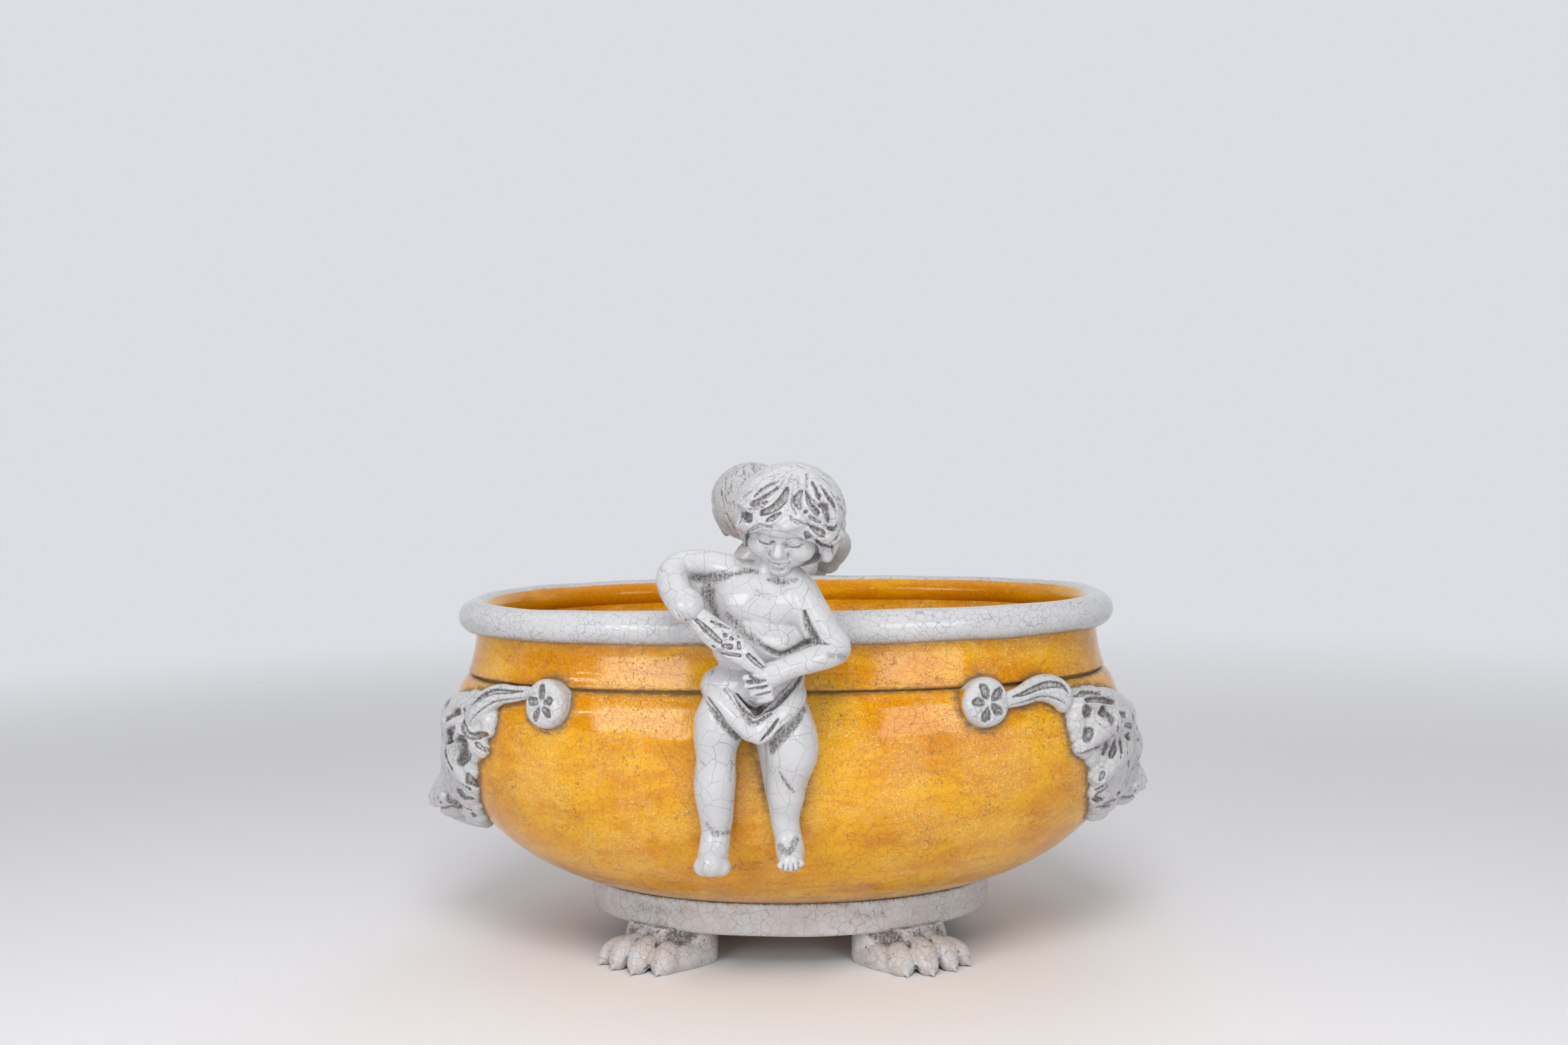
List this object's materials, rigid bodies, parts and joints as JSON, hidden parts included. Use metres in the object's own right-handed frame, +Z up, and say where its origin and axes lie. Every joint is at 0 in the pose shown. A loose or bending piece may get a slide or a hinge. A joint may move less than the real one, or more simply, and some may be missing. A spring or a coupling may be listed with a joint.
{
  "type": "majolica planter",
  "caption": "Oval glazed ceramic planter with a rolled rim, lion masks at its ends, rosettes, swags, child figures against its sides and paw feet.",
  "frame": {"origin": "on the ground under the middle of the bowl", "axes": "+Z up, +X along the bowl's long axis towards the right lion mask, the front figure on the -Y side"},
  "size_m": [0.561, 0.4562, 0.3688],
  "materials": {
    "yellow_glaze": "gloss",
    "white_glaze": "gloss"
  },
  "bodies": {
    "root": {"bowl": "yellow_glaze", "rim_roll": "white_glaze", "foot_ring": "white_glaze", "front_left_foot": "white_glaze", "front_right_foot": "white_glaze", "rear_left_foot": "white_glaze", "rear_right_foot": "white_glaze", "left_lion_mask": "white_glaze", "right_lion_mask": "white_glaze", "front_left_rosette": "white_glaze", "front_right_rosette": "white_glaze", "rear_left_rosette": "white_glaze", "rear_right_rosette": "white_glaze", "front_left_swag": "white_glaze", "front_right_swag": "white_glaze", "rear_left_swag": "white_glaze", "rear_right_swag": "white_glaze", "front_torso": "white_glaze", "front_head": "white_glaze", "front_hair": "white_glaze", "front_right_arm": "white_glaze", "front_left_arm": "white_glaze", "front_right_leg": "white_glaze", "front_left_leg": "white_glaze", "front_loincloth": "white_glaze", "front_horn": "white_glaze", "rear_torso": "white_glaze", "rear_head": "white_glaze", "rear_hair": "white_glaze", "rear_right_arm": "white_glaze", "rear_left_arm": "white_glaze", "rear_right_leg": "white_glaze", "rear_left_leg": "white_glaze", "rear_loincloth": "white_glaze", "rear_horn": "white_glaze"}
  },
  "joints": []
}
